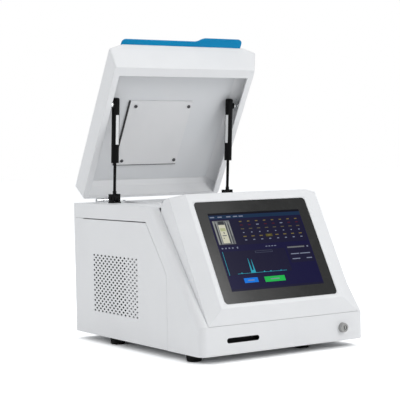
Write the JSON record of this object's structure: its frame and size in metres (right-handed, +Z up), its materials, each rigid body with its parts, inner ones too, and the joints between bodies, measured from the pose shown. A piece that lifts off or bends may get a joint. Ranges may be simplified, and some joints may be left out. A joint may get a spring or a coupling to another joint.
{
  "type": "x-ray fluorescence gold analyzer",
  "caption": "Bench-top x-ray fluorescence gold analyzer: sloped touch screen in a light housing, flat sample deck with a window, under a shielded lid held open by gas struts.",
  "frame": {"origin": "middle of the footprint, in the plane of the feet's undersides", "axes": "+Z up, -Y towards the user and the screen, +X to the user's right"},
  "size_m": [0.374, 0.4796, 0.6062],
  "materials": {
    "shell_paint": "fine satin powder coat, light grey white",
    "panel_paint": "fine satin powder coat, light grey",
    "lid_paint": "fine satin powder coat, light grey white",
    "liner_steel": "satin sheet",
    "shield": "satin coated plate",
    "bezel": "fine satin coat",
    "glass_black": "gloss, dark printed border",
    "blue_acrylic": "polished",
    "black_plastic": "fine grained",
    "white_plastic": "satin",
    "rubber_foot": "matte",
    "chromed": "bright plated",
    "steel": "satin",
    "strut_black": "smooth black coat",
    "black_screw": "black oxide",
    "aluminium": "satin anodised",
    "brass": "turned",
    "board": "solder mask",
    "film": "thin amber film"
  },
  "bodies": {
    "frame": {"aperture_ring": "brass", "base_hinge_leaves": "chromed", "base_pan": "steel", "board_standoffs": "brass", "collimator_motor": "steel", "detector": "aluminium", "fan_frame": "black_plastic", "feet": "rubber_foot", "hinge_pins": "steel", "housing_shell": "shell_paint", "hv_generator": "black_plastic", "interlock_body": "black_plastic", "key_switch_body": "chromed", "key_switch_nut": "steel", "lcd_frame": "aluminium", "lcd_panel": "black_plastic", "left_side_panel": "panel_paint", "lower_strut_brackets": "black_plastic", "mainboard": "board", "port_insert": "black_plastic", "power_inlet": "black_plastic", "power_supply": "aluminium", "rear_panel": "panel_paint", "rear_panel_screws": "black_screw", "rear_ports": "steel", "right_side_panel": "panel_paint", "rocker_frame": "black_plastic", "sample_camera": "black_plastic", "screen_bezel": "bezel", "stage_lamp": "black_plastic", "stage_plate": "aluminium", "stage_screws": "black_screw", "touch_glass": "glass_black", "tube_bracket": "steel", "window_film": "film", "xray_tube": "brass"},
    "lid": {"lid_shell": "lid_paint", "lid_liner": "liner_steel", "shield_plate": "shield", "shield_screws": "black_screw", "grip_plate": "blue_acrylic", "lid_hinge_leaves": "chromed", "upper_strut_brackets": "chromed"},
    "left_rod": {"left_rod_fitting": "black_plastic", "left_strut_rod": "strut_black"},
    "left_tube": {"left_strut_tube": "strut_black", "left_tube_fitting": "black_plastic"},
    "right_rod": {"right_rod_fitting": "black_plastic", "right_strut_rod": "strut_black"},
    "right_tube": {"right_strut_tube": "strut_black", "right_tube_fitting": "black_plastic"},
    "key_rotor": {"key_switch_rotor": "chromed"},
    "plunger": {"interlock_plunger": "white_plastic"},
    "fan": {"fan_rotor": "black_plastic"},
    "collimator": {"collimator_wheel": "brass"},
    "rocker": {"power_rocker": "black_plastic"}
  },
  "joints": [
    {"name": "lid_hinge", "type": "hinge", "parent": "frame", "child": "lid", "pos_m": [0, 0.22916, 0.2783], "axis": [1, 0, 0], "range_deg": [0, 60.57]},
    {"name": "left_strut_swing", "type": "hinge", "parent": "frame", "child": "left_rod", "pos_m": [-0.138, 0.14516, 0.2855], "axis": [1, 0, 0], "range_deg": [0, 84.75]},
    {"name": "left_strut_slide", "type": "slide", "parent": "left_rod", "child": "left_tube", "axis": [0, 0.0704, -0.9975], "range_m": [0, 0.0545]},
    {"name": "right_strut_swing", "type": "hinge", "parent": "frame", "child": "right_rod", "pos_m": [0.138, 0.14516, 0.2855], "axis": [1, 0, 0], "range_deg": [0, 84.75]},
    {"name": "right_strut_slide", "type": "slide", "parent": "right_rod", "child": "right_tube", "axis": [0, 0.0704, -0.9975], "range_m": [0, 0.0545]},
    {"name": "key_turn", "type": "hinge", "parent": "frame", "child": "key_rotor", "pos_m": [0.1332, -0.23284, 0.0388], "axis": [0, -1, 0], "range_deg": [-90, 0]},
    {"name": "plunger_press", "type": "slide", "parent": "frame", "child": "plunger", "axis": [0, 0, -1], "range_m": [0, 0.002], "stiffness_N_per_m": 400, "springref_m": -0.002},
    {"name": "fan_spin", "type": "hinge", "parent": "frame", "child": "fan", "pos_m": [0.095, 0.21016, 0.179], "axis": [0, 1, 0], "continuous": true},
    {"name": "collimator_turn", "type": "hinge", "parent": "frame", "child": "collimator", "pos_m": [-0.0565, 0.05596, 0.244], "axis": [0, 0, 1], "continuous": true},
    {"name": "rocker_tilt", "type": "hinge", "parent": "frame", "child": "rocker", "pos_m": [-0.125, 0.22156, 0.114], "axis": [0, 0, 1], "range_deg": [-15, 0]}
  ],
  "couplings": [
    {"joint": "left_strut_swing", "follows": "lid_hinge", "ratio": 1.3984},
    {"joint": "left_strut_slide", "follows": "lid_hinge", "m_per_rad": 0.051444},
    {"joint": "right_strut_swing", "follows": "lid_hinge", "ratio": 1.3984},
    {"joint": "right_strut_slide", "follows": "lid_hinge", "m_per_rad": 0.051444}
  ]
}
